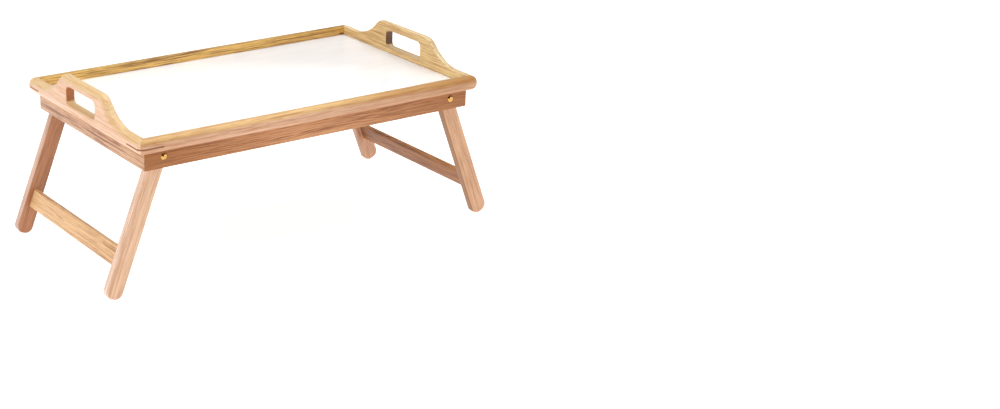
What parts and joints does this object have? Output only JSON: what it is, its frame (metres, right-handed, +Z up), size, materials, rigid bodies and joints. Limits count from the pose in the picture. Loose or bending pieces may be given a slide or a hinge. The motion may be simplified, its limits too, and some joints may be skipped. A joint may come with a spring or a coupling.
{
  "type": "bed tray table",
  "caption": "Rectangular wooden bed tray with a white surface, handle boards with hand slots at both ends, and two splayed leg frames that fold flat underneath.",
  "frame": {"origin": "on the floor under the middle of the tray, legs open", "axes": "+X along the tray's length to its right end, +Y from front to rear, +Z up"},
  "size_m": [0.7284, 0.388, 0.2935],
  "materials": {
    "rim_wood": "clear satin lacquer on golden hardwood",
    "handle_wood": "clear satin lacquer on pale hardwood",
    "apron_wood": "clear satin lacquer on orange-brown hardwood",
    "leg_wood": "clear satin lacquer on pinkish hardwood",
    "stretcher_wood": "clear satin lacquer on yellow hardwood",
    "key_wood": "dark hardwood feather, lacquered with the frame",
    "hidden_wood": "plain planed beech",
    "hardboard": "plain brown hardboard",
    "white_laminate": "smooth white laminate",
    "brass": "polished brass plating",
    "zinc_steel": "bright zinc plating",
    "nylon": "natural nylon"
  },
  "bodies": {
    "tray": {"front_rail": "rim_wood", "rear_rail": "rim_wood", "left_handle_board": "handle_wood", "right_handle_board": "handle_wood", "panel_board": "hardboard", "panel_laminate": "white_laminate", "front_apron": "apron_wood", "rear_apron": "apron_wood", "left_apron": "apron_wood", "right_apron": "apron_wood", "apron_corner_splines": "hidden_wood", "apron_tongues": "hidden_wood", "pivot_bolts": "brass", "leg_spacers": "nylon", "lock_nuts": "zinc_steel", "front_left_corner_key": "key_wood", "rear_left_corner_key": "key_wood", "front_right_corner_key": "key_wood", "rear_right_corner_key": "key_wood"},
    "left_leg_frame": {"front_left_leg": "leg_wood", "rear_left_leg": "leg_wood", "left_stretcher": "stretcher_wood"},
    "right_leg_frame": {"front_right_leg": "leg_wood", "rear_right_leg": "leg_wood", "right_stretcher": "stretcher_wood"}
  },
  "joints": [
    {"name": "left_leg_fold", "type": "hinge", "parent": "tray", "child": "left_leg_frame", "pos_m": [-0.26928, 0, 0.2212], "axis": [0, -1, 0], "range_deg": [0, 111.2]},
    {"name": "right_leg_fold", "type": "hinge", "parent": "tray", "child": "right_leg_frame", "pos_m": [0.26928, 0, 0.2212], "axis": [0, 1, 0], "range_deg": [0, 111.2]}
  ]
}
